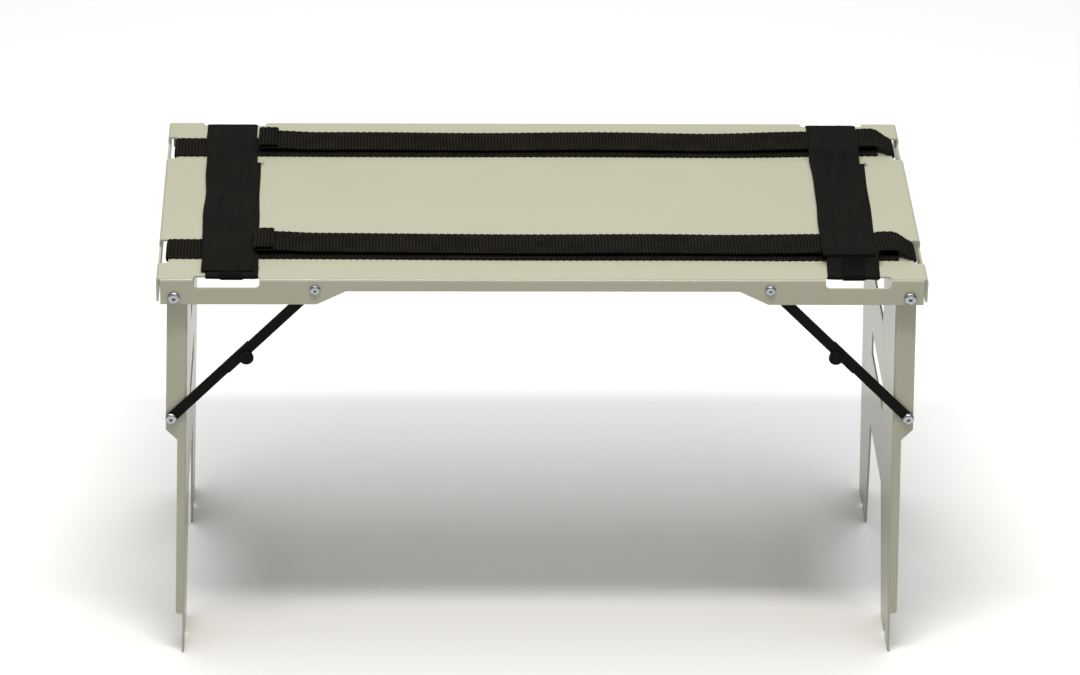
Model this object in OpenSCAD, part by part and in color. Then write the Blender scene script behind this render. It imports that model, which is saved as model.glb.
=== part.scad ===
// Low folding board: a folded sheet-metal deck with strap slots, two folding end legs with
// over-centre braces, and four hook-and-loop straps around the deck. Millimetres, +Z up.
// The origin is on the floor under the middle of the deck. The front faces -Y.

/* [Deck] */
// Length of the deck over its end flanges
deck_length = 737.5; // [728:0.5:745]
// Depth of the deck over its front and back flanges
deck_depth = 352; // [346:1:360]
// Height of the deck's top face above the floor
deck_height = 420; // [415:1:425]
// Thickness of the sheet metal of the deck and legs
sheet = 2; // [1.6:0.1:2]
// Outside radius of the bends in the sheet metal
bend_radius = 3; // [2.5:0.1:3.5]
// Depth of the long flanges at their deep ends
rim_deep = 26.6; // [26:0.1:29]
// Depth of the end flanges
end_rim_deep = 25.2; // [24:0.1:26]
// Depth of the long flanges along their middle
rim_shallow = 12.6; // [10:0.1:14]
// Distance from the middle of the deck to where the long flange starts to deepen
shallow_reach = 188; // [180:1:192]
// Distance from the middle of the deck to where the long flange is at its full depth
deep_from = 216; // [210:1:216]
// Gap left open where two flanges meet at a corner
corner_gap = 1.8; // [1:0.1:2]
// Radius of the lower corners of the flanges
flange_corner = 3; // [2:0.5:4]

/* [Strap slots] */
// Distance from the middle of the deck to the middle of a cross strap slot
cross_slot_x = 302; // [300:0.5:304]
// Length of a cross strap slot
cross_slot_length = 63; // [62:0.5:66]
// Distance from the middle of the deck to the middle of a webbing slot
web_slot_y = 116; // [112:1:120]
// Length of a webbing slot
web_slot_length = 50; // [48:0.5:54]
// How far a cross strap slot is cut back into the deck's top
slot_back = 7.8; // [7.5:0.1:8]
// How far a webbing slot is cut back into the deck's top
web_slot_back = 10.5; // [9:0.1:11]
// How far a slot is cut down into the flange
slot_down = 9.5; // [8:0.5:9.5]
// Radius of a slot's corners
slot_corner = 4; // [2:0.5:4.5]

/* [Legs] */
// Distance from the middle of the deck to a leg's pivot
pivot_x = 352; // [351:0.5:353]
// Depth of a leg's pivot below the deck's top face
pivot_drop = 19.5; // [19.5:0.1:20]
// Angle at which a locked leg leans outwards
splay = 1.5; // [1:0.1:2]
// Distance from the pivot to the inner face of the leg's panel
panel_reach = 12.9; // [12:0.1:12.9]
// Height of the leg's top edge above its pivot
leg_rise = 6.5; // [5:0.5:6.5]
// Width of a leg's side flanges down to the chamfer
flange_wide = 19.8; // [19:0.1:20]
// Width of a leg's side flanges below the chamfer
flange_narrow = 8.6; // [8:0.1:10]
// Height above the floor where the side flanges start to narrow
chamfer_height = 252; // [248:1:254]
// Height above the floor where the side flanges end
flange_end_height = 45; // [40:1:50]
// Height of the upper window's top edge above the floor
window_top_height = 398; // [396:1:400]
// Height of the upper window's bottom edge above the floor
window_bottom_height = 308; // [304:1:320]
// Height of the lower window's top edge above the floor
low_window_top_height = 243; // [234:1:246]
// Height of the lower window
low_window_tall = 27; // [20:0.5:30]
// Width of the upper window
window_width = 96; // [88:2:110]
// Width of the lower window
low_window_width = 126; // [116:2:136]
// Height of the gap between the two feet
foot_gap_height = 136; // [128:1:150]
// Width of the top of the gap between the two feet
foot_gap_top = 124; // [96:2:130]
// Width of a foot
foot_width = 72; // [66:1:78]
// Radius of the windows' corners
window_corner = 3; // [2:0.5:4]
// Width of the arch cut into each foot
arch_width = 10; // [8:1:14]
// Height of the arch cut into each foot
arch_height = 14; // [10:1:16]

/* [Braces] */
// Distance from the middle of the deck to a brace's upper pivot
brace_top_x = 217.5; // [216.5:0.5:218]
// Depth of a brace's upper pivot below the deck's top face
brace_top_drop = 11; // [10.5:0.5:11]
// Distance of a brace's lower pivot from the leg's pivot, down the leg
brace_foot_down = 134.6; // [134.5:0.1:134.8]
// Distance of a brace's lower pivot from the leg's pivot, towards the leg's free edge
brace_foot_out = 1.8; // [1.5:0.1:2.2]
// Distance of the knee's pivot from the straight line of the locked brace
knee_past = 5; // [4.5:0.1:5.5]
// How far an upper link runs on past the knee
upper_link_lap = 24; // [16:1:24]
// How far a lower link runs on past the knee, short enough to clear the straps in the coupled fold
lower_link_lap = 12; // [10:0.5:13]
// Width of a brace link
link_width = 10; // [9:0.5:10]
// Thickness of a brace link
link_thick = 2.5; // [2:0.1:2.5]
// Diameter of the knee's round head
knee_head_diameter = 14.2; // [13:0.1:14.4]

/* [Fasteners] */
// Shank diameter of the leg pivot screws
pivot_screw = 6; // [5:0.5:6]
// Head diameter of the leg pivot screws
pivot_head = 12.5; // [11:0.1:13]
// Shank diameter of the brace's upper screws
top_screw = 5; // [4:0.5:5]
// Head diameter of the brace's upper screws
top_head = 10.2; // [9:0.1:11]
// Shank diameter of the brace's lower screws
foot_screw = 6; // [5:0.5:6]
// Head diameter of the brace's lower screws
foot_head = 11.5; // [10:0.1:11.6]
// Radial clearance of a turning fit
running_gap = 0.05; // [0.02:0.01:0.08]

/* [Straps] */
// Width of the lengthwise webbing
webbing_width = 40; // [38:0.5:42]
// Width of the cross straps
strap_width = 50; // [48:0.5:52]
// Thickness of one layer of strap
strap_thick = 1.6; // [1.2:0.1:1.6]
// Clearance between a strap and what it lies on
strap_gap = 0.3; // [0.2:0.05:0.3]
// Width of the narrow strip sewn along a cross strap
strip_width = 21; // [18:0.5:24]
// Thickness of the narrow strip
strip_thick = 0.8; // [0.5:0.1:1]
// Angle at which the left cross strap lies askew
left_skew = -0.5; // [-1:0.1:0]
// Angle at which the right cross strap lies askew
right_skew = 1.2; // [0:0.1:1.5]

/* [Hidden] */
$fn = 48;

overshoot = 1;
half_length = deck_length / 2;
half_depth = deck_depth / 2;
deck_under = deck_height - sheet;

// Layers behind the front face of the deck, each as its distance from that face
head_layer = 2.4;
knee_head_thick = 1.7;
upper_layer = 4.2;
layer_gap = 0.1;
leg_side_gap = 0.3;
lower_layer = upper_layer + link_thick + layer_gap;
leg_layer = lower_layer + link_thick + leg_side_gap;
leg_depth = deck_depth - 2 * leg_layer;

// Pivots of the left front brace, as [x, z]
leg_pivot = [-pivot_x, deck_height - pivot_drop];
brace_top = [-brace_top_x, deck_height - brace_top_drop];
brace_foot = leg_pivot + splayed([-brace_foot_out, -brace_foot_down]);
brace_line = brace_foot - brace_top;
brace_way = brace_line / norm(brace_line);
brace_middle = (brace_top + brace_foot) / 2;
knee = brace_middle + knee_past * [-brace_way[1], brace_way[0]];
knee_eye = link_width + 2;
knee_head_edge = 0.5;

// Lengths along the leg, measured down from its pivot
leg_reach = deck_height - pivot_drop;
leg_length = leg_reach + 2 * overshoot;

// Fasteners
pivot_nut_thick = 4;
thin_nut_thick = 2.4;
thread_stub = 1;
spacer_wall = 2;
nut_fit = 0.02;
head_height_share = 0.27;
dome_sweep = 52.5;
socket_share = 0.62;
socket_depth_share = 0.7;
nut_share = 1.6;
hexagon = 6;

// Strap levels
top_of_deck = deck_height;
webbing_low = top_of_deck + strap_gap;
webbing_double = webbing_low + 2 * strap_thick;
webbing_under = deck_under - strap_gap - strap_thick;
cross_low = webbing_double + strap_gap;
cross_top = cross_low + strap_thick;
cross_under = webbing_under - strap_gap - strap_thick;
web_edge_x = half_length - web_slot_back;
cross_edge_y = half_depth - slot_back;
webbing_clear = 22;
webbing_end_x = cross_slot_x - strap_width / 2 - webbing_clear;
webbing_span = web_edge_x - strap_gap;
cross_inset = 3;
cross_span = cross_edge_y - cross_inset;

shell_colour = [0.77, 0.78, 0.69];
link_colour = [0.08, 0.08, 0.07];
zinc_colour = [0.75, 0.76, 0.78];
strap_colour = [0.11, 0.10, 0.09];

// A point of the leg, given from its pivot in the leg's own upright frame, turned to the splay
function splayed(p) = [p[0] * cos(splay) + p[1] * sin(splay), -p[0] * sin(splay) + p[1] * cos(splay)];

module front_and_back() {
    children();
    mirror([0, 1, 0]) children();
}

module left_and_right() {
    children();
    mirror([1, 0, 0]) children();
}

module on_the_back() mirror([0, 1, 0]) children();

module on_the_right() mirror([1, 0, 0]) children();

// Extrudes a shape drawn in X and Z, from a distance behind the deck's front face
module in_layer(from, thick) {
    translate([0, from + thick - half_depth, 0])
        rotate([90, 0, 0])
            linear_extrude(thick) children();
}

// Rectangle with rounded corners, centred
module rounded_rect(size, radius) {
    square([size[0], size[1] - 2 * radius], center = true);
    square([size[0] - 2 * radius, size[1]], center = true);
    for (x = [-1, 1], y = [-1, 1])
        translate([x * (size[0] / 2 - radius), y * (size[1] / 2 - radius)]) circle(radius);
}

// Section of a bent channel: its web's outer face is on Y = 0 and its flanges point to -Y
module channel_section(width, height) {
    difference() {
        translate([0, -height]) rounded_rect([width, 2 * height], bend_radius);
        translate([0, -height - sheet])
            rounded_rect([width - 2 * sheet, 2 * height], bend_radius - sheet);
        translate([-width, -3 * height]) square([2 * width, 2 * height]);
    }
}

// --- Deck ---

// What is cut away under the long flange: the shallow middle with its two slants
module rim_cut() {
    polygon([
        [-deep_from, -rim_deep - overshoot],
        [-deep_from, -rim_deep],
        [-shallow_reach, -rim_shallow],
        [shallow_reach, -rim_shallow],
        [deep_from, -rim_deep],
        [deep_from, -rim_deep - overshoot]
    ]);
}

// A slot through a bend, seen along the flange: back into the top and down the face.
// It is drawn with the flange's outer face on Y = 0 and the top face on Z = 0.
module bend_slot(length, back) {
    translate([0, 0, -sheet - overshoot])
        linear_extrude(sheet + 2 * overshoot) rounded_rect([length, 2 * back], slot_corner);
    translate([0, sheet + overshoot, 0])
        rotate([90, 0, 0])
            linear_extrude(sheet + 2 * overshoot) rounded_rect([length, 2 * slot_down], slot_corner);
    translate([-length / 2, -overshoot, -sheet])
        cube([length, sheet + bend_radius, sheet + overshoot]);
}

module corner_rounding(size) {
    difference() {
        square([size, size]);
        translate([size, size]) circle(size);
    }
}

module deck() {
    color(shell_colour)
    translate([0, 0, deck_height])
    difference() {
        union() {
            // top and long flanges
            translate([-half_length + sheet + corner_gap, 0, 0])
                rotate([90, 0, 90])
                    linear_extrude(deck_length - 2 * (sheet + corner_gap))
                        channel_section(deck_depth, rim_deep);
            // end flanges
            translate([0, half_depth - bend_radius / 2, 0])
                rotate([90, 0, 0])
                    linear_extrude(deck_depth - bend_radius)
                        channel_section(deck_length, end_rim_deep);
        }
        rotate([90, 0, 0])
            translate([0, 0, -deck_depth])
                linear_extrude(2 * deck_depth) rim_cut();
        front_and_back() left_and_right() {
            translate([-cross_slot_x, -half_depth, 0]) bend_slot(cross_slot_length, slot_back);
            translate([-half_length, -web_slot_y, 0])
                rotate([0, 0, -90]) bend_slot(web_slot_length, web_slot_back);
            // rounded lower corners of the end flanges
            translate([-half_length - overshoot, -half_depth + bend_radius / 2, -end_rim_deep])
                rotate([90, 0, 90])
                    linear_extrude(overshoot + sheet + corner_gap / 2) corner_rounding(flange_corner);
            // rounded corners of the top
            translate([-half_length, -half_depth, -sheet - overshoot])
                linear_extrude(sheet + 2 * overshoot) corner_rounding(bend_radius);
            translate([0, 0, -deck_height]) in_layer(-overshoot, sheet + 2 * overshoot) pivot_holes();
        }
    }
}

// Holes of the deck's left front flange, where height is measured from the floor
module pivot_holes() {
    translate(leg_pivot) circle(d = pivot_screw + 2 * running_gap);
    translate(brace_top) circle(d = top_screw + 2 * running_gap);
}

// --- Legs ---

// What is cut away from a leg's side flanges, in the leg's own frame with X towards the middle
module flange_cut() {
    free_edge = panel_reach - flange_wide;
    narrow_edge = panel_reach - flange_narrow;
    chamfer = flange_wide - flange_narrow;
    chamfer_z = chamfer_height - leg_reach;
    end_z = flange_end_height - leg_reach;
    far = free_edge - flange_wide;
    polygon(concat(
        [[far, chamfer_z], [free_edge, chamfer_z], [narrow_edge, chamfer_z - chamfer]],
        [for (a = [180:15:270])
            [narrow_edge + flange_corner * (1 + cos(a)), end_z + flange_corner * (1 + sin(a))]],
        [[panel_reach - sheet, end_z], [panel_reach - sheet, -leg_length - overshoot],
         [far, -leg_length - overshoot]]
    ));
}

// Rounds the top corner of a leg's side flanges
module leg_top_cut() {
    radius = leg_rise;
    free_edge = panel_reach - flange_wide;
    translate([free_edge, leg_rise])
        mirror([0, 1]) corner_rounding(radius);
}

// Windows and foot gap of the leg's panel, drawn in Y and height above the floor
module panel_openings() {
    low_window_middle = low_window_top_height - low_window_tall / 2;
    window_middle = (window_top_height + window_bottom_height) / 2;
    gap_half = leg_depth / 2 - foot_width;
    translate([0, window_middle])
        rounded_rect([window_width, window_top_height - window_bottom_height], window_corner);
    translate([0, low_window_middle]) rounded_rect([low_window_width, low_window_tall], window_corner);
    polygon([
        [-foot_gap_top / 2, foot_gap_height],
        [foot_gap_top / 2, foot_gap_height],
        [gap_half, -2 * overshoot],
        [-gap_half, -2 * overshoot]
    ]);
    for (side = [-1, 1])
        translate([side * (gap_half + foot_width / 2), 0]) {
            translate([-arch_width / 2, -2 * overshoot])
                square([arch_width, arch_height - arch_width / 2 + 2 * overshoot]);
            translate([0, arch_height - arch_width / 2]) circle(d = arch_width);
        }
}

module left_leg() {
    color(shell_colour)
    difference() {
        translate([leg_pivot[0], 0, leg_pivot[1]])
            rotate([0, splay, 0])
                difference() {
                    translate([panel_reach, 0, -leg_length])
                        rotate([0, 0, -90])
                            linear_extrude(leg_length + leg_rise)
                                channel_section(leg_depth, flange_wide);
                    rotate([90, 0, 0])
                        translate([0, 0, -leg_depth])
                            linear_extrude(2 * leg_depth) {
                                flange_cut();
                                leg_top_cut();
                                circle(d = pivot_screw + 2 * running_gap);
                                translate([-brace_foot_out, -brace_foot_down])
                                    circle(d = foot_screw + 2 * running_gap);
                            }
                    translate([panel_reach - sheet - overshoot, 0, -leg_reach])
                        rotate([90, 0, 90])
                            linear_extrude(sheet + 2 * overshoot) panel_openings();
                }
        // feet ground flat on the floor
        translate([-deck_length, -deck_depth, -deck_height])
            cube([2 * deck_length, 2 * deck_depth, deck_height]);
    }
}

module right_leg() on_the_right() left_leg();

// --- Braces ---

// Flat bar along the locked brace's line: a round end at its outer pivot, an eye on its edge for
// the knee's pivot, and a square end that laps over the other link
module link_outline(outer, outer_hole, lap) {
    way = brace_middle - outer;
    difference() {
        union() {
            translate(outer) rotate(atan2(way[1], way[0]))
                translate([0, -link_width / 2]) square([norm(way) + lap, link_width]);
            translate(outer) circle(d = link_width);
            translate(knee) circle(d = knee_eye);
        }
        translate(outer) circle(d = outer_hole + 2 * running_gap);
        translate(knee) circle(d = foot_screw + 2 * running_gap);
    }
}

module upper_link() {
    color(link_colour)
    in_layer(upper_layer, link_thick) link_outline(brace_top, top_screw, upper_link_lap);
}

module lower_link() {
    color(link_colour)
    in_layer(lower_layer, link_thick) link_outline(brace_foot, foot_screw, lower_link_lap);
}

// The knee rivet's front half: a flat round head, and the shank as far as the upper link's back
module knee_rivet() {
    color(link_colour) {
        translate([knee[0], head_layer - half_depth, knee[1]])
            rotate([-90, 0, 0])
                rotate_extrude()
                    polygon([
                        [0, 0], [knee_head_diameter / 2 - knee_head_edge, 0],
                        [knee_head_diameter / 2, knee_head_edge],
                        [knee_head_diameter / 2, knee_head_thick], [foot_screw / 2, knee_head_thick],
                        [foot_screw / 2, upper_layer + link_thick - head_layer],
                        [0, upper_layer + link_thick - head_layer]
                    ]);
    }
}

// The knee rivet's back half, which fills the lower link's hole
module rivet_tail() {
    color(link_colour)
    in_layer(lower_layer, link_thick) translate(knee) circle(d = foot_screw);
}

module left_front_upper_link() upper_link();
module left_back_upper_link() on_the_back() upper_link();
module right_front_upper_link() on_the_right() upper_link();
module right_back_upper_link() on_the_right() on_the_back() upper_link();
module left_front_lower_link() lower_link();
module left_back_lower_link() on_the_back() lower_link();
module right_front_lower_link() on_the_right() lower_link();
module right_back_lower_link() on_the_right() on_the_back() lower_link();
module left_front_knee_rivet() knee_rivet();
module left_back_knee_rivet() on_the_back() knee_rivet();
module right_front_knee_rivet() on_the_right() knee_rivet();
module right_back_knee_rivet() on_the_right() on_the_back() knee_rivet();
module left_front_rivet_tail() rivet_tail();
module left_back_rivet_tail() on_the_back() rivet_tail();
module right_front_rivet_tail() on_the_right() rivet_tail();
module right_back_rivet_tail() on_the_right() on_the_back() rivet_tail();

// --- Fasteners ---

// Button-head screw along +Y: the underside of its head is at Y = 0
module button_screw(shank, head, length) {
    head_height = head * head_height_share;
    socket = shank * socket_share;
    rotate([-90, 0, 0])
        difference() {
            rotate_extrude()
                polygon(concat(
                    [[0, length], [shank / 2, length], [shank / 2, 0], [head / 2, 0]],
                    [for (t = [0:0.2:1])
                        [head / 2 * cos(dome_sweep * t), -head_height * sin(90 * t)]],
                    [[0, -head_height]]
                ));
            translate([0, 0, -head_height - overshoot])
                cylinder(d = socket / cos(30), h = overshoot + head_height * socket_depth_share, $fn = hexagon);
        }
}

// Hexagonal nut in the X and Z plane
module nut_outline(shank) {
    difference() {
        circle(d = shank * nut_share / cos(30), $fn = hexagon);
        circle(d = shank + 2 * nut_fit);
    }
}

module spacer_outline(shank) {
    difference() {
        circle(d = shank + 2 * spacer_wall);
        circle(d = shank + 2 * nut_fit);
    }
}

module leg_pivot_screws() {
    color(zinc_colour)
    front_and_back() left_and_right()
        translate([leg_pivot[0], -half_depth, leg_pivot[1]])
            button_screw(pivot_screw, pivot_head, leg_layer + sheet + layer_gap + pivot_nut_thick + thread_stub);
}

module leg_pivot_spacers() {
    color(zinc_colour)
    front_and_back() left_and_right()
        in_layer(sheet, leg_layer - sheet - layer_gap) translate(leg_pivot) spacer_outline(pivot_screw);
}

module leg_pivot_nuts() {
    color(zinc_colour)
    front_and_back() left_and_right()
        in_layer(leg_layer + sheet + layer_gap, pivot_nut_thick) translate(leg_pivot) nut_outline(pivot_screw);
}

module brace_top_screws() {
    color(zinc_colour)
    front_and_back() left_and_right()
        translate([brace_top[0], -half_depth, brace_top[1]])
            button_screw(top_screw, top_head, lower_layer + thin_nut_thick);
}

module brace_top_spacers() {
    color(zinc_colour)
    front_and_back() left_and_right()
        in_layer(sheet, upper_layer - sheet - layer_gap) translate(brace_top) spacer_outline(top_screw);
}

module brace_top_nuts() {
    color(zinc_colour)
    front_and_back() left_and_right()
        in_layer(lower_layer, thin_nut_thick) translate(brace_top) nut_outline(top_screw);
}

module brace_foot_screw_pair() {
    color(zinc_colour)
    front_and_back()
        translate([brace_foot[0], lower_layer - half_depth - layer_gap, brace_foot[1]])
            button_screw(foot_screw, foot_head,
                layer_gap + link_thick + leg_side_gap + sheet + pivot_nut_thick + thread_stub);
}

module brace_foot_nut_pair() {
    color(zinc_colour)
    front_and_back()
        in_layer(leg_layer + sheet, pivot_nut_thick) translate(brace_foot) nut_outline(foot_screw);
}

module left_brace_foot_screws() brace_foot_screw_pair();
module left_brace_foot_nuts() brace_foot_nut_pair();
module right_brace_foot_screws() on_the_right() brace_foot_screw_pair();
module right_brace_foot_nuts() on_the_right() brace_foot_nut_pair();

// --- Straps ---

// Flat loop in the X and Z plane with round ends, between two levels
module strap_loop(half_span, low, high) {
    middle = (low + high) / 2;
    radius = (high - low) / 2;
    translate([0, middle]) {
        difference() {
            union() {
                square([2 * half_span, 2 * radius], center = true);
                for (x = [-1, 1]) translate([x * half_span, 0]) circle(radius);
            }
            square([2 * half_span, 2 * (radius - strap_thick)], center = true);
            for (x = [-1, 1]) translate([x * half_span, 0]) circle(radius - strap_thick);
        }
    }
}

// Lengthwise loop: one layer all round, and a second on top from its folded end to the right
module front_webbing() {
    color(strap_colour)
    translate([0, webbing_width / 2 - web_slot_y, 0])
        rotate([90, 0, 0])
            linear_extrude(webbing_width) {
                strap_loop(webbing_span, webbing_under, webbing_low + strap_thick);
                translate([-webbing_end_x, webbing_low + strap_thick])
                    square([webbing_end_x + webbing_span - slot_back, strap_thick]);
            }
}

module back_webbing() on_the_back() front_webbing();

// Loop around the deck from front to back, over the webbing
module cross_strap(skew) {
    color(strap_colour)
    translate([-cross_slot_x, 0, 0])
        rotate([0, 0, skew])
            translate([-strap_width / 2, 0, 0])
                rotate([90, 0, 90])
                    linear_extrude(strap_width) strap_loop(cross_span, cross_under, cross_top);
}

module strap_strip(skew) {
    color(strap_colour)
    translate([-cross_slot_x, 0, cross_top])
        rotate([0, 0, skew])
            translate([-strip_width / 2, -cross_span, 0])
                cube([strip_width, 2 * cross_span, strip_thick]);
}

module left_cross_strap() cross_strap(left_skew);
module right_cross_strap() on_the_right() cross_strap(-right_skew);
module left_strap_strip() strap_strip(left_skew);
module right_strap_strip() on_the_right() strap_strip(-right_skew);

deck();
left_leg();
right_leg();
left_front_upper_link();
left_back_upper_link();
right_front_upper_link();
right_back_upper_link();
left_front_lower_link();
left_back_lower_link();
right_front_lower_link();
right_back_lower_link();
left_front_knee_rivet();
left_back_knee_rivet();
right_front_knee_rivet();
right_back_knee_rivet();
left_front_rivet_tail();
left_back_rivet_tail();
right_front_rivet_tail();
right_back_rivet_tail();
leg_pivot_screws();
leg_pivot_spacers();
leg_pivot_nuts();
brace_top_screws();
brace_top_spacers();
brace_top_nuts();
left_brace_foot_screws();
left_brace_foot_nuts();
right_brace_foot_screws();
right_brace_foot_nuts();
front_webbing();
back_webbing();
left_cross_strap();
right_cross_strap();
left_strap_strip();
right_strap_strip();
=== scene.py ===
"""Looks for the folding strap board: materials, woven straps, stitches, lights and camera."""

import math
import random

import bmesh
import bpy
import numpy as np
from mathutils import Matrix, Vector


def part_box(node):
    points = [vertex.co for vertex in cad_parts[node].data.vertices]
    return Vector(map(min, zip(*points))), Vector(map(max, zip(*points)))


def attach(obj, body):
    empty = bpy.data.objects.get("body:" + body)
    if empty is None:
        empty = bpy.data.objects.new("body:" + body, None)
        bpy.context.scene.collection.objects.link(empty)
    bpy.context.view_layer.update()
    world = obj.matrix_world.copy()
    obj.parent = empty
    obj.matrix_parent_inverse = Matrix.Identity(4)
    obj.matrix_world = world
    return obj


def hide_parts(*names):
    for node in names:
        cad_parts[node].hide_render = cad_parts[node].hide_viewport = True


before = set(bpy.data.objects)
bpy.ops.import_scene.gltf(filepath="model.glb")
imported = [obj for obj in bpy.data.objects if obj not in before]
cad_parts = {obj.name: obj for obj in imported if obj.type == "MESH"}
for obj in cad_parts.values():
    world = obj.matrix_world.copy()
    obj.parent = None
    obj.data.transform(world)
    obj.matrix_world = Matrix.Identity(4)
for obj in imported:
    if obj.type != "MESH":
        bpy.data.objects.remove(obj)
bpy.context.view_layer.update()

MM = 0.001
random.seed(7)

# ---------------------------------------------------------------------------
# Places taken from the frame, in millimetres
# ---------------------------------------------------------------------------

deck_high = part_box("deck")[1] / MM
top = deck_high.z
half_length = deck_high.x
half_depth = deck_high.y

sheet = 2.0  # metal thickness of the deck
web_slot_back = 10.5  # how far a webbing slot is cut back from the deck's end
cross_slot_back = 7.8  # how far a cross strap slot is cut back from the deck's front or back
edge_x = half_length - web_slot_back  # cut edge that the webbing wraps
edge_y = half_depth - cross_slot_back  # cut edge that the cross straps wrap

web_y = (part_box("back_webbing")[0].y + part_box("back_webbing")[1].y) / 2 / MM


# ---------------------------------------------------------------------------
# Materials
# ---------------------------------------------------------------------------


class Nodes:
    """A small helper that adds and links the nodes of one material."""

    def __init__(self, name):
        self.material = bpy.data.materials.new(name)
        self.material.use_nodes = True
        self.tree = self.material.node_tree
        self.shader = self.tree.nodes["Principled BSDF"]

    def add(self, kind, **settings):
        node = self.tree.nodes.new(kind)
        for key, value in settings.items():
            if key in node.inputs:
                node.inputs[key].default_value = value
            else:
                setattr(node, key, value)
        return node

    def link(self, output, target):
        self.tree.links.new(output, target)

    def set(self, **values):
        for key, value in values.items():
            self.shader.inputs[key.replace("_", " ")].default_value = value

    def object_points(self):
        return self.add("ShaderNodeTexCoord").outputs["Object"]

    def noise(self, points, scale, detail=2.0, roughness=0.5):
        node = self.add("ShaderNodeTexNoise", Scale=scale, Detail=detail, Roughness=roughness)
        self.link(points, node.inputs["Vector"])
        return node.outputs["Fac"]

    def ramp(self, factor, stops):
        node = self.add("ShaderNodeValToRGB")
        elements = node.color_ramp.elements
        while len(elements) < len(stops):
            elements.new(0.5)
        for element, (place, colour) in zip(elements, stops):
            element.position = place
            element.color = (*colour, 1.0)
        self.link(factor, node.inputs["Fac"])
        return node.outputs["Color"]

    def range(self, factor, low, high):
        node = self.add("ShaderNodeMapRange")
        node.inputs["To Min"].default_value = low
        node.inputs["To Max"].default_value = high
        self.link(factor, node.inputs["Value"])
        return node.outputs["Result"]

    def bump(self, height, distance, strength=1.0, normal=None):
        node = self.add("ShaderNodeBump", Distance=distance, Strength=strength)
        self.link(height, node.inputs["Height"])
        if normal is not None:
            self.link(normal, node.inputs["Normal"])
        return node.outputs["Normal"]


def mixed(colour, other, share):
    return tuple(a + (b - a) * share for a, b in zip(colour, other))


def powder_coat():
    """Pale grey-green beige powder coat: a fine peel and faint rubbed patches."""
    base = (0.350, 0.351, 0.268)
    m = Nodes("powder_coat")
    points = m.object_points()
    broad = m.noise(points, 7.0, 3.0)
    colour = m.ramp(broad, [(0.3, mixed(base, (0.30, 0.29, 0.22), 0.16)), (0.7, base)])
    m.link(colour, m.shader.inputs["Base Color"])
    rubbed = m.noise(points, 16.0, 4.0, 0.6)
    m.link(m.range(rubbed, 0.34, 0.50), m.shader.inputs["Roughness"])
    m.set(Specular_IOR_Level=0.22, Coat_Weight=0.42, Coat_Roughness=0.15, Coat_IOR=1.5)
    coarse = m.bump(m.noise(points, 420.0, 2.0), 0.00009, 0.7)
    fine = m.bump(m.noise(points, 1500.0, 2.0), 0.00003, 0.6, coarse)
    m.link(fine, m.shader.inputs["Normal"])
    m.link(fine, m.shader.inputs["Coat Normal"])
    return m.material


def black_finish():
    """Satin black on the brace links, a little rubbed to brown-grey."""
    m = Nodes("black_finish")
    points = m.object_points()
    worn = m.noise(points, 90.0, 4.0, 0.6)
    colour = m.ramp(worn, [(0.45, (0.0022, 0.0022, 0.0018)), (0.72, (0.0055, 0.0050, 0.0038))])
    m.link(colour, m.shader.inputs["Base Color"])
    m.set(Specular_IOR_Level=0.08)
    m.link(m.range(worn, 0.42, 0.58), m.shader.inputs["Roughness"])
    m.link(m.bump(m.noise(points, 900.0, 2.0), 0.00002, 0.6), m.shader.inputs["Normal"])
    return m.material


def zinc():
    """Bright zinc plate with a faint blue cast and fine spangle."""
    m = Nodes("zinc")
    points = m.object_points()
    spangle = m.noise(points, 700.0, 3.0)
    colour = m.ramp(spangle, [(0.35, (0.26, 0.28, 0.30)), (0.7, (0.52, 0.55, 0.58))])
    m.link(colour, m.shader.inputs["Base Color"])
    m.set(Metallic=1.0)
    m.link(m.range(spangle, 0.14, 0.30), m.shader.inputs["Roughness"])
    return m.material


def webbing_cloth():
    """Ribbed webbing: near-black brown with fine threads running along the strap, and painted shade that
    darkens the valleys between the ribs.
    """
    m = Nodes("webbing_cloth")
    points = m.object_points()
    strands = m.add("ShaderNodeTexWave", wave_type="BANDS", bands_direction="Y", Scale=230.0)
    strands.inputs["Distortion"].default_value = 1.2
    strands.inputs["Detail"].default_value = 2.0
    strands.inputs["Detail Scale"].default_value = 3.0
    m.link(points, strands.inputs["Vector"])
    fade = m.noise(points, 60.0, 4.0, 0.6)
    colour = m.ramp(fade, [(0.35, (0.0062, 0.0052, 0.0036)), (0.75, (0.0140, 0.0120, 0.0086))])
    # Painted shade: the stored rib height darkens the colour to about a sixth in the valleys between the
    # ribs.
    height = m.add("ShaderNodeAttribute", attribute_name="rib").outputs["Fac"]
    shade = m.ramp(height, [(0.15, (0.16, 0.16, 0.16)), (0.8, (1.0, 1.0, 1.0))])
    colour_with_painted_shade = m.add("ShaderNodeMix", data_type="RGBA", blend_type="MULTIPLY")
    colour_with_painted_shade.inputs[0].default_value = 1.0
    m.link(colour, colour_with_painted_shade.inputs[6])
    m.link(shade, colour_with_painted_shade.inputs[7])
    m.link(colour_with_painted_shade.outputs[2], m.shader.inputs["Base Color"])
    m.set(Roughness=0.85, Specular_IOR_Level=0.06)
    m.link(m.bump(strands.outputs["Fac"], 0.00012, 0.7), m.shader.inputs["Normal"])
    return m.material


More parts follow.
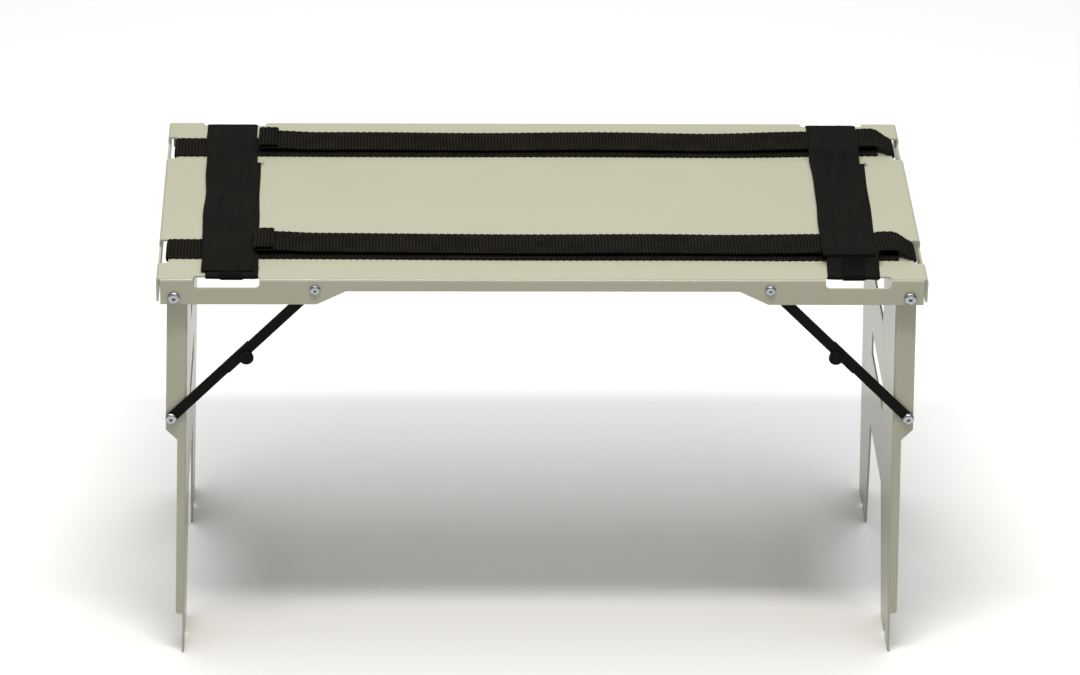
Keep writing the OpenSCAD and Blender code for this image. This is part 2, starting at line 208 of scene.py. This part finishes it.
def flat_cloth():
    """Flat woven strap: near-black with a fine cross weave and soft lengthwise streaks."""
    m = Nodes("flat_cloth")
    points = m.object_points()
    along = m.add("ShaderNodeTexWave", wave_type="BANDS", bands_direction="X", Scale=420.0)
    across = m.add("ShaderNodeTexWave", wave_type="BANDS", bands_direction="Y", Scale=300.0)
    for wave in (along, across):
        wave.inputs["Distortion"].default_value = 0.8
        m.link(points, wave.inputs["Vector"])
    stretched = m.add("ShaderNodeMapping")
    stretched.inputs["Scale"].default_value = (8.0, 1.0, 1.0)
    m.link(points, stretched.inputs["Vector"])
    streak = m.noise(stretched.outputs["Vector"], 24.0, 4.0, 0.65)
    colour = m.ramp(streak, [(0.35, (0.0034, 0.0033, 0.0026)), (0.72, (0.0060, 0.0057, 0.0045))])
    m.link(colour, m.shader.inputs["Base Color"])
    m.set(Roughness=0.8, Specular_IOR_Level=0.07)
    weave = m.bump(across.outputs["Fac"], 0.00006, 0.6, m.bump(along.outputs["Fac"], 0.00006, 0.6))
    m.link(weave, m.shader.inputs["Normal"])
    return m.material


def pile_cloth():
    """Deep black pile of the hook-and-loop strip."""
    m = Nodes("pile_cloth")
    points = m.object_points()
    tuft = m.noise(points, 1300.0, 2.0, 0.7)
    colour = m.ramp(tuft, [(0.3, (0.0012, 0.0012, 0.0011)), (0.8, (0.0050, 0.0046, 0.0040))])
    m.link(colour, m.shader.inputs["Base Color"])
    m.set(Roughness=0.95, Specular_IOR_Level=0.08)
    m.link(m.bump(tuft, 0.0004, 1.0), m.shader.inputs["Normal"])
    return m.material


def thread():
    """Dull black sewing thread."""
    m = Nodes("thread")
    points = m.object_points()
    twist = m.noise(points, 2500.0, 1.0)
    colour = m.ramp(twist, [(0.3, (0.002, 0.002, 0.0017)), (0.8, (0.0065, 0.0060, 0.0048))])
    m.link(colour, m.shader.inputs["Base Color"])
    m.set(Roughness=0.7, Specular_IOR_Level=0.1)
    return m.material


MATERIALS = {
    "coat": powder_coat(),
    "black": black_finish(),
    "zinc": zinc(),
    "webbing": webbing_cloth(),
    "cloth": flat_cloth(),
    "pile": pile_cloth(),
    "thread": thread(),
}


SHARP_ANGLE = math.radians(40.0)  # faces that meet at more than this keep a sharp edge


def dress(node, key):
    """Gives a CAD node its material and smooth curved faces."""
    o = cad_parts[node]
    o.data.materials.clear()
    o.data.materials.append(MATERIALS[key])
    o.data.shade_smooth()
    o.data.set_sharp_from_angle(angle=SHARP_ANGLE)


def dress_frame():
    dress("deck", "coat")
    for side in ("left", "right"):
        dress(f"{side}_leg", "coat")
        for end in ("front", "back"):
            dress(f"{side}_{end}_upper_link", "black")
            dress(f"{side}_{end}_lower_link", "black")
            dress(f"{side}_{end}_knee_rivet", "black")
            dress(f"{side}_{end}_rivet_tail", "black")
        dress(f"{side}_brace_foot_screws", "zinc")
        dress(f"{side}_brace_foot_nuts", "zinc")
    for kind in ("screws", "spacers", "nuts"):
        dress(f"leg_pivot_{kind}", "zinc")
        dress(f"brace_top_{kind}", "zinc")


# ---------------------------------------------------------------------------
# Straps
# ---------------------------------------------------------------------------


def smooth(value, start, end):
    """0 at start, 1 at end, and an even curve in between."""
    t = np.clip((np.asarray(value, float) - start) / (end - start), 0, 1)
    return t * t * (3 - 2 * t)


def value_at(curve, place):
    """A curve's value at one place, as a plain number."""
    return float(curve(np.array(place)))


def hump(value, low, high, ramp):
    """1 between low and high, falling to 0 over ramp on either side."""
    return smooth(value, low - ramp, low) * (1 - smooth(value, high, high + ramp))


def evenly(points, step):
    """The same line with points a step apart."""
    points = np.asarray(points, float)
    lengths = np.linalg.norm(np.diff(points, axis=0), axis=1)
    points = points[np.concatenate([[True], lengths > 1e-9])]
    along = np.concatenate([[0], np.cumsum(np.linalg.norm(np.diff(points, axis=0), axis=1))])
    at = np.linspace(0, along[-1], int(round(along[-1] / step)) + 1)
    return np.stack([np.interp(at, along, points[:, i]) for i in range(points.shape[1])], 1), at


def line_length(line):
    return float(evenly(line, 1.0)[1][-1])


def run(start, end, level, offset, step=1.0):
    """A run of strap from start to end: rows of (place along, height, sideways offset)."""
    places = np.linspace(start, end, max(2, int(abs(end - start) / step)))
    return np.stack([places, level(places), offset(places)], 1)


def turn(centre, height, radius, start, end, offset):
    """A wrap or fold: an arc from one angle to another, in degrees."""
    angles = np.radians(np.linspace(start, end, 17))
    return np.stack(
        [
            centre + radius * np.cos(angles),
            height + radius * np.sin(angles),
            np.full(len(angles), offset),
        ],
        1,
    )


def mesh_object(name, points, faces, key):
    mesh = bpy.data.meshes.new(name)
    mesh.from_pydata([tuple(p) for p in points], [], [tuple(f) for f in faces])
    mesh.materials.append(MATERIALS[key])
    mesh.shade_smooth()
    mesh.update()
    o = bpy.data.objects.new(name, mesh)
    bpy.context.scene.collection.objects.link(o)
    return o


def ribbon(name, line, step, across, thick, relief, key, along_x):
    """A strap of cloth along a line in a vertical plane.

    line has rows of (place, height, sideways offset); across is the list of places over the
    strap's width; relief(s, v) gives the outer face's height, the inner face's height and the
    change in half-width at each point. Gives the object and the places along the line.
    """
    rows, s = evenly(line, step)
    tangent = np.gradient(rows[:, :2], axis=0)
    tangent /= np.linalg.norm(tangent, axis=1)[:, None]
    normal = np.stack([tangent[:, 1], -tangent[:, 0]], 1)
    v = np.asarray(across, float)
    half = v.max()
    ss, vv = np.meshgrid(s, v, indexing="ij")
    outer, inner, wider = relief(ss, vv)
    edge = 1 - 0.55 * (np.abs(vv) / half) ** 10  # the strap thins at its two long edges
    sideways = rows[:, 2][:, None] + vv * (1 + wider / half)
    rise = thick / 2 * edge

    def surface(height):
        place = rows[:, 0][:, None] + normal[:, 0][:, None] * height
        level = rows[:, 1][:, None] + normal[:, 1][:, None] * height
        return np.stack([place, sideways, level], 2)

    face_up = surface(rise + outer)
    face_down = surface(-rise - inner)[:, ::-1]
    rim = thick * 0.16
    rim_high = (face_up[:, -1:] + face_down[:, :1]) / 2
    rim_high[:, :, 1] += rim
    rim_low = (face_up[:, :1] + face_down[:, -1:]) / 2
    rim_low[:, :, 1] -= rim
    rings = np.concatenate([face_up, rim_high, face_down, rim_low], 1)
    count, ring = rings.shape[:2]
    points = rings.reshape(-1, 3)
    if not along_x:
        points = points[:, [1, 0, 2]]
    index = np.arange(count * ring).reshape(count, ring)
    a, b = index[:-1], index[1:]
    quads = np.stack([a, np.roll(a, -1, 1), np.roll(b, -1, 1), b], 2).reshape(-1, 4)
    faces = [tuple(int(i) for i in q) for q in quads]
    k = len(v)
    for end, flip in ((0, True), (count - 1, False)):
        loop = index[end]
        up, down = loop[:k], loop[k + 1 : 2 * k + 1][::-1]
        cap = [(up[i], up[i + 1], down[i + 1], down[i]) for i in range(k - 1)]
        cap.append((up[k - 1], loop[k], down[k - 1]))
        cap.append((up[0], down[0], loop[2 * k + 1]))
        faces += [tuple(int(i) for i in (c[::-1] if flip else c)) for c in cap]
    o = mesh_object(name, (points + [0, 0, top]) * MM, faces, key)
    fix_normals(o)
    return o, s


def fix_normals(o):
    bm = bmesh.new()
    bm.from_mesh(o.data)
    bmesh.ops.recalc_face_normals(bm, faces=bm.faces)
    bm.to_mesh(o.data)
    bm.free()


WEB_THICK = 2.0
WEB_WIDTH = 40.0
RIB = 3.2  # pitch of the webbing's ribs
RIB_DEEP = 0.7  # depth of the valleys between the ribs
CROSS_STEP = 1.5  # spacing of the points along a cross strap
STRAP_THICK = 1.4
STRAP_WIDTH = 50.0
STRIP_STEP = 0.8  # spacing of the points along a pile strip
STRIP_THICK = 0.8
STRIP_WIDTH = 21.0
GAP = 0.2  # air between layers that touch
WEB_LOW = GAP + WEB_THICK / 2  # middle of the webbing's lower layer above the deck
WEB_UNDER = -sheet - GAP - WEB_THICK / 2
WEB_FOLD_X = -274.5  # where the upper layer's end turns back on itself
WEB_FOLD_RADIUS = WEB_THICK / 2 + 0.9
WEB_FLAP_X = -257.5  # where the turned-back end stops
WEB_HIDDEN_END = 344.0  # the lower layer's own end, under the upper layer


def web_lift(x):
    """How far the middle of the upper layer is above the middle of the lower one."""
    by_fold = 1.8 * (1 - smooth(x, -258, -215))
    on_right = 1.2 * smooth(x, 170, 280)
    by_slot = 2.6 * smooth(x, 312, 332)
    loose = 4.4 + by_fold + on_right + by_slot
    wave = 0.35 * np.sin(x / 41.0) * hump(x, -200, 160, 60)
    return (loose + wave) * (1 - smooth(x, 338, edge_x + 2) ** 1.5)


def web_wave(x, phase):
    """A slow rise and fall that both layers share."""
    return 0.22 * (1 - np.cos(x / 33.0 + phase)) * hump(x, -230, 230, 60)


def rib_height(s, share):
    """1 on top of a rib and 0 in the narrow valley between two; ribs bow a little at the edges."""
    return 1 - np.abs(np.cos(math.pi * (s + 0.45 * share**2) / RIB)) ** 4


def store_ribs_for_painted_shade(o, s, across):
    """Stores the rib height at every point; the cloth's material reads it to paint shade into the valleys
    between the ribs.
    """
    share = np.abs(across) / np.abs(across).max()
    ring = np.concatenate([share, [1.0], share[::-1], [1.0]])
    heights = rib_height(s[:, None], ring[None, :]).ravel()
    o.data.attributes.new("rib", "FLOAT", "POINT").data.foreach_set("value", heights.astype(np.float32))


def make_webbing(name, side, left_shift, right_shift, end_shift, upper_shift):
    """A lengthwise webbing strap. side is -1 for the front and 1 for the back."""
    slant = (right_shift - left_shift) / (2 * edge_x)

    def low_offset(x):
        wander = 0.5 * np.sin(x / 57.0 + side)
        straight = side * web_y + left_shift + slant * (x + edge_x)
        return straight + end_shift * smooth(x, 180, 350) + wander * hump(x, -250, 250, 80)

    def high_offset(x):
        return low_offset(x) + upper_shift * (1 - smooth(x, 338, edge_x - 0.5))

    def low(x):
        return WEB_LOW + web_wave(x, side)

    def high(x):
        return WEB_LOW + web_wave(x, side) + web_lift(x)

    def under(x):
        return np.full_like(x, WEB_UNDER)

    wrap = edge_x - 0.4
    wrap_radius = (WEB_LOW - WEB_UNDER) / 2
    middle = (WEB_LOW + WEB_UNDER) / 2
    fold_level = value_at(high, WEB_FOLD_X)
    fold_offset = value_at(high_offset, WEB_FOLD_X)
    line = np.concatenate(
        [
            run(WEB_HIDDEN_END, -wrap, low, low_offset),
            turn(-wrap, middle, wrap_radius, 90, 270, value_at(low_offset, -wrap)),
            run(-wrap, wrap, under, low_offset, 4.0),
            turn(wrap, middle, wrap_radius, -90, 90, value_at(low_offset, wrap)),
            run(wrap, WEB_FOLD_X, high, high_offset),
            turn(WEB_FOLD_X, fold_level + WEB_FOLD_RADIUS, WEB_FOLD_RADIUS, 270, 90, fold_offset),
            run(
                WEB_FOLD_X,
                WEB_FLAP_X,
                lambda x: high(x) + 2 * WEB_FOLD_RADIUS - 0.5 * smooth(x, WEB_FLAP_X - 9, WEB_FLAP_X),
                lambda x: high_offset(x) + 0.035 * (x - WEB_FOLD_X),
            ),
        ]
    )

    def relief(s, v):
        share = np.abs(v) / (WEB_WIDTH / 2)
        rib = rib_height(s, share)
        pair = np.cos(math.pi * s / RIB)
        crown = 0.10 * np.cos(v * math.pi / WEB_WIDTH)
        height = RIB_DEEP * (rib - 0.6) * (1 - 0.35 * share**6) + crown + 0.03 * np.sin(v * 2.1 + s * 0.9)
        return height, height, 0.5 * pair * np.sign(v) * share**4

    across = WEB_WIDTH / 2 * np.sin(np.linspace(-1, 1, 13) * math.pi / 2)
    o, s = ribbon(name, line, RIB / 6, across, WEB_THICK, relief, "webbing", True)
    # Rib heights for the painted shade between the ribs.
    store_ribs_for_painted_shade(o, s, across)
    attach(o, "deck")
    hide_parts(name)
    return high, high_offset


def stitches(name, segments, radius, key):
    """Short sewn stitches: each is a small capsule between two points, in millimetres."""
    points, faces = [], []
    sides = 6
    for start, end in segments:
        a, b = Vector(start), Vector(end)
        axis = (b - a).normalized()
        side = axis.cross(Vector((0, 0, 1)))
        side = side.normalized() if side.length > 1e-6 else Vector((1, 0, 0))
        other = axis.cross(side)
        base = len(points)
        rings = [(0.0, 0.35), (0.18, 0.9), (0.5, 1.0), (0.82, 0.9), (1.0, 0.35)]
        for t, swell in rings:
            middle = a + (b - a) * t
            for i in range(sides):
                angle = 2 * math.pi * i / sides
                place = middle + (side * math.cos(angle) + other * math.sin(angle)) * radius * swell
                points.append(place)
        for r in range(len(rings) - 1):
            low_ring = base + r * sides
            high_ring = low_ring + sides
            for i in range(sides):
                j = (i + 1) % sides
                faces.append((low_ring + i, low_ring + j, high_ring + j, high_ring + i))
        faces.append(tuple(base + i for i in range(sides))[::-1])
        faces.append(tuple(base + (len(rings) - 1) * sides + i for i in range(sides)))
    o = mesh_object(name, [(p + Vector((0, 0, top))) * MM for p in points], faces, key)
    fix_normals(o)
    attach(o, "deck")
    return o


def web_stitches(name, high, offset):
    """The sewn box that holds the webbing's folded end."""

    def level(x):
        return value_at(high, x) + 2 * WEB_FOLD_RADIUS + WEB_THICK / 2 + 0.3

    pitch = 3.2
    stitch = 2.4  # length of one stitch
    segments = []
    for x in (WEB_FOLD_X + 4, WEB_FLAP_X - 3):
        middle = value_at(offset, x)
        for i in range(-5, 5):
            y = middle + i * pitch + (pitch - stitch) / 2
            segments.append(((x, y, level(x)), (x + 0.3, y + stitch, level(x))))
    for side in (-1, 1):
        for i in range(4):
            x = WEB_FOLD_X + 4 + i * 3.0
            y = value_at(offset, x) + side * 17
            segments.append(((x, y, level(x)), (x + 2.2, y, level(x))))
    return stitches(name, segments, 0.32, "thread")


def make_cross_strap(name, middle_x, skew, stack, end_y, lower_shift, phase):
    """A strap around the deck from front to back, over the webbing.

    stack is the height of the webbing under it, end_y where its upper layer ends at the front.
    """
    cut_end = 79.0  # the lower layer's raw end, under the upper layer
    low_level = GAP + STRAP_THICK / 2
    under_level = -sheet - GAP - STRAP_THICK / 2
    front = (-web_y - WEB_WIDTH / 2, -web_y + WEB_WIDTH / 2)
    back = (web_y - WEB_WIDTH / 2, web_y + WEB_WIDTH / 2)
    slope = math.tan(math.radians(skew))

    def over_front(y):
        return hump(y, *front, 17)

    def over_back(y):
        return hump(y, *back, 17)

    def low(y):
        return low_level + stack * over_front(y) + 0.15 * np.sin(y / 19.0 + phase) ** 2

    def high(y):
        doubled = 1 - smooth(y, cut_end - 2, cut_end + 16)
        lift = (STRAP_THICK + 0.25) * doubled * smooth(y, -edge_y, -edge_y + 5)
        slack = 0.35 * np.sin(y / 23.0 + phase) ** 2 * hump(y, -80, 60, 30)
        return low_level + stack * (over_front(y) + over_back(y)) + lift + slack

    def under(y):
        return under_level - (WEB_THICK + GAP) * (over_front(y) + over_back(y))

    def offset(y):
        wander = 0.7 * np.sin(y / 31.0 + phase) + 0.35 * np.sin(y / 12.0 + 2 * phase)
        return middle_x - slope * y + wander * hump(y, -120, 120, 40)

    def low_offset(y):
        return middle_x - slope * y + lower_shift

    wrap = edge_y - 0.4
    radius = (low_level - under_level) / 2
    middle = (low_level + under_level) / 2
    front_offset = value_at(low_offset, -wrap)
    back_offset = value_at(offset, wrap)

    def under_offset(y):
        share = smooth(y, -wrap, wrap)
        return front_offset * (1 - share) + back_offset * share

    line = np.concatenate(
        [
            run(cut_end, -wrap, low, low_offset),
            turn(-wrap, middle, radius, 90, 270, front_offset),
            run(-wrap, wrap, under, under_offset),
            turn(wrap, middle, radius, -90, 90, back_offset),
            run(wrap, end_y, high, offset),
        ]
    )
    total = line_length(line)
    seam = 10.0  # half the spacing of the two lengthwise seams
    hem = 17.0  # length of the hem folded under at the front end
    hem_seam = 7.5  # from the front end to the row of stitches across the hem
    top_start = total - (wrap - end_y)

    def relief(s, v):
        on_top = smooth(s, top_start - 8, top_start + 8)
        groove = np.exp(-(((np.abs(v) - seam) / 0.9) ** 2))
        to_end = total - s
        hemmed = 1 - smooth(to_end, hem - 1.5, hem + 1.5)
        crease = np.exp(-(((to_end - hem_seam) / 0.8) ** 2)) + np.exp(-(((to_end - hem) / 0.8) ** 2))
        cloth = 0.05 * np.sin(v * 0.55 + s * 0.11) + 0.05 * np.sin(s * 0.23 + v * 0.2)
        outer = cloth - 0.32 * groove * on_top + 0.45 * hemmed - 0.55 * crease * on_top
        ripple = 0.35 * np.sin(s / 17.0 + phase) * np.sign(v) * (np.abs(v) / (STRAP_WIDTH / 2)) ** 3
        return outer, 0.5 * hemmed, ripple

    half = STRAP_WIDTH / 2
    across = np.unique(
        np.round(
            np.concatenate(
                [
                    np.linspace(-half, half, 21),
                    [q * seam + d for q in (-1, 1) for d in (-1.8, -0.9, 0, 0.9, 1.8)],
                    [-half + 0.6, half - 0.6],
                ]
            ),
            3,
        )
    )
    o = ribbon(name, line, CROSS_STEP, across, STRAP_THICK, relief, "cloth", False)[0]
    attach(o, "deck")
    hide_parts(name)

    # The pile strip on the outer face of the lower layer, round the front edge and on under the deck
    rise = STRAP_THICK / 2 + 0.45
    strip_radius = radius + rise
    strip_line = np.concatenate(
        [
            run(cut_end - 4, -wrap, lambda y: low(y) + rise, low_offset),
            turn(-wrap, middle, strip_radius, 90, 270, front_offset),
            run(-wrap, -wrap + 40, lambda y: under(y) - rise, under_offset),
        ]
    )

    def tufts(s, v):
        grain = 0.10 * np.sin(s * 3.1 + v * 2.3) * np.sin(v * 3.7 - s * 1.9)
        ragged = 0.5 * np.sin(s * 1.7 + phase) * np.sign(v) * (np.abs(v) / (STRIP_WIDTH / 2)) ** 4
        return grain, np.zeros_like(grain), ragged

    strip_name = name.replace("cross_strap", "strap_strip")
    over_strip = np.linspace(-STRIP_WIDTH / 2, STRIP_WIDTH / 2, 25)
    strip = ribbon(strip_name, strip_line, STRIP_STEP, over_strip, STRIP_THICK, tufts, "pile", False)[0]
    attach(strip, "deck")
    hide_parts(strip_name)
    strip_flat = (STRIP_WIDTH * MM, line_length(strip_line) * MM)

    # Seams: two long rows of stitches, and one row across the front hem
    stitch = 2.6  # length of one stitch
    seam_pitch = 3.6
    hem_pitch = 3.4
    lift = STRAP_THICK / 2 + 0.02
    segments = []
    for q in (-1, 1):
        y = end_y + hem + 8
        while y < edge_y - 8:
            ends = []
            for place in (y, y + stitch):
                x = value_at(offset, place) + q * seam
                ends.append((x, place, value_at(high, place) + lift))
            segments.append(tuple(ends))
            y += seam_pitch
    place = end_y + hem_seam
    level = value_at(high, place) + lift + 0.3
    for i in range(-7, 7):
        x = value_at(offset, place) + i * hem_pitch + (hem_pitch - stitch) / 2
        segments.append(((x, place, level), (x + stitch, place, level)))
    seams = stitches(name.replace("cross_strap", "strap_stitches"), segments, 0.18, "thread")

    # Loose threads at the lower layer's raw end and at the front hem
    pieces = 5  # straight pieces in one loose thread
    lowest = 0.25  # keeps a loose thread above the deck
    threads = []
    for place, count, reach in ((cut_end - 4, 9, 6.0), (end_y + 6, 6, 4.0)):
        start_x = value_at(low_offset, place) + half - 1
        level = value_at(low if place > 0 else high, place)
        for _ in range(count):
            last = Vector((start_x, place + random.uniform(-5, 5), level))
            heading = random.uniform(-0.9, 0.9)
            bit = random.uniform(0.4, 1.0) * reach / pieces
            for _ in range(pieces):
                heading += random.uniform(-0.5, 0.5)
                drift = random.uniform(-0.12, 0.12)
                new = last + Vector((bit * math.cos(heading), bit * math.sin(heading), drift))
                new.z = max(new.z, lowest)
                threads.append((tuple(last), tuple(new)))
                last = new
    fray = stitches(name.replace("cross_strap", "strap_fray"), threads, 0.16, "thread")


def make_straps():
    # shifts along Y, in millimetres: the left end, the right end, the bend near the right end
    # and the upper layer
    for end, side, shifts in (("front", -1, (3.2, -1.0, 2.0, 4.6)), ("back", 1, (-0.8, -1.5, 4.5, 5.0))):
        high, offset = make_webbing(f"{end}_webbing", side, *shifts)
        web_stitches(f"{end}_webbing_stitches", high, offset)
    rib_proud = 0.3  # the ribs stand a little above the webbing's thickness
    near_edge = 320.0  # near the right cross strap's outer edge, where the webbing is doubled
    single = WEB_LOW + WEB_THICK / 2 + 0.1 + rib_proud
    doubled = single + value_at(web_lift, near_edge)
    make_cross_strap("left_cross_strap", -302.5, 0.6, single, -163.0, 3.6, 0.4)
    make_cross_strap("right_cross_strap", 298.0, -1.2, doubled, -142.0, 3.2, 1.7)


# ---------------------------------------------------------------------------
# Stage, lights and camera
# ---------------------------------------------------------------------------


def make_floor():
    m = Nodes("floor")
    m.set(Base_Color=(0.84, 0.84, 0.84, 1.0), Roughness=0.9, Specular_IOR_Level=0.1)
    size = 12.0
    mesh = bpy.data.meshes.new("floor")
    corners = [(-size, -size, 0), (size, -size, 0), (size, size, 0), (-size, size, 0)]
    mesh.from_pydata(corners, [], [(0, 1, 2, 3)])
    mesh.materials.append(m.material)
    floor = bpy.data.objects.new("floor", mesh)
    bpy.context.scene.collection.objects.link(floor)


def area_light(name, place, target, size, power, colour=(1.0, 1.0, 1.0)):
    light = bpy.data.lights.new(name, "AREA")
    light.color = colour
    light.shape = "RECTANGLE"
    light.size, light.size_y = size
    light.energy = power
    o = bpy.data.objects.new(name, light)
    o.location = place
    o.rotation_mode = "QUATERNION"
    o.rotation_quaternion = (Vector(target) - Vector(place)).to_track_quat("-Z", "Y")
    bpy.context.scene.collection.objects.link(o)


def make_lights():
    world = bpy.data.worlds.new("studio")
    world.use_nodes = True
    background = world.node_tree.nodes["Background"]
    background.inputs["Color"].default_value = (1.0, 1.0, 1.0, 1.0)
    background.inputs["Strength"].default_value = 0.30
    bpy.context.scene.world = world
    area_light("overhead", (0.0, 0.3, 4.2), (0.0, 0.3, 0.0), (5.4, 5.4), 205.0)
    area_light("key", (-0.08, -0.75, 2.3), (0.0, 0.0, 0.35), (0.85, 0.18), 27.0, (1.0, 0.95, 0.87))
    bpy.context.scene.view_settings.view_transform = "Standard"


def make_camera():
    """The camera looks from the front, a little from the left, and is tilted slightly."""
    elevation, yaw, roll = (math.radians(x) for x in (27.54, 2.06, 1.005))
    target = Vector((3.9, -7.3, 270.0)) * MM
    distance = 4.9945
    focal_share = 4.638  # focal length as a share of the picture's width
    forward = Vector(
        (math.sin(yaw) * math.cos(elevation), math.cos(yaw) * math.cos(elevation), -math.sin(elevation))
    )
    level_right = Vector((math.cos(yaw), -math.sin(yaw), 0))
    level_up = level_right.cross(forward)
    right = level_right * math.cos(roll) + level_up * math.sin(roll)
    up = level_up * math.cos(roll) - level_right * math.sin(roll)
    camera = bpy.data.cameras.new("camera")
    camera.sensor_width = 36.0
    camera.lens = focal_share * camera.sensor_width
    camera.clip_start, camera.clip_end = 0.1, 100.0
    o = bpy.data.objects.new("camera", camera)
    place = target - forward * distance
    o.matrix_world = Matrix(
        (
            (right.x, up.x, -forward.x, place.x),
            (right.y, up.y, -forward.y, place.y),
            (right.z, up.z, -forward.z, place.z),
            (0, 0, 0, 1),
        )
    )
    bpy.context.scene.collection.objects.link(o)
    bpy.context.scene.camera = o


make_camera()
make_lights()
make_floor()
dress_frame()
make_straps()
